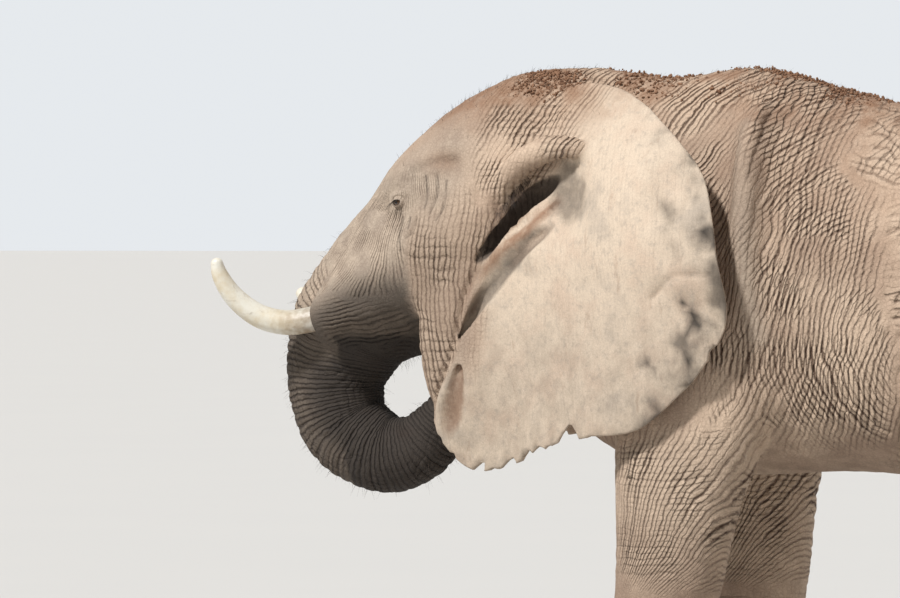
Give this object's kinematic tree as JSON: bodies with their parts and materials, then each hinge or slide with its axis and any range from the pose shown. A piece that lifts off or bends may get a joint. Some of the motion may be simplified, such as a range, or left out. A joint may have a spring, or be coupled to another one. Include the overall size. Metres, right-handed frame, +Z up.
{
  "type": "elephant",
  "caption": "Still life-size African bush elephant bull, standing with its trunk curled back under the chin.",
  "frame": {"origin": "on the floor, under the middle of the whole box", "axes": "+Z up; the animal faces -Y and its left side is towards +X"},
  "size_m": [1.536, 4.9993, 3.2034],
  "materials": {
    "skin": "dusty matt, deeply wrinkled",
    "ivory": "worn satin",
    "horn": "dusty matt",
    "eye": "wet gloss",
    "hair": "coarse wiry hair"
  },
  "bodies": {
    "root": {"head": "skin", "lower_jaw": "skin", "neck": "skin", "chest": "skin", "belly": "skin", "rump": "skin", "trunk_upper": "skin", "trunk_middle": "skin", "trunk_lower": "skin", "ear_left": "skin", "ear_right": "skin", "tail": "skin", "foreleg_left_upper": "skin", "foreleg_left_lower": "skin", "foreleg_left_foot": "skin", "foreleg_right_upper": "skin", "foreleg_right_lower": "skin", "foreleg_right_foot": "skin", "hindleg_left_upper": "skin", "hindleg_left_lower": "skin", "hindleg_left_foot": "skin", "hindleg_right_upper": "skin", "hindleg_right_lower": "skin", "hindleg_right_foot": "skin", "tusk_left": "ivory", "tusk_right": "ivory", "eye_left": "eye", "eye_right": "eye", "toenail_foreleg_left_1": "horn", "toenail_foreleg_left_2": "horn", "toenail_foreleg_left_3": "horn", "toenail_foreleg_left_4": "horn", "toenail_foreleg_right_1": "horn", "toenail_foreleg_right_2": "horn", "toenail_foreleg_right_3": "horn", "toenail_foreleg_right_4": "horn", "toenail_hindleg_left_1": "horn", "toenail_hindleg_left_2": "horn", "toenail_hindleg_left_3": "horn", "toenail_hindleg_right_1": "horn", "toenail_hindleg_right_2": "horn", "toenail_hindleg_right_3": "horn", "tail_tuft": "hair"}
  },
  "joints": []
}
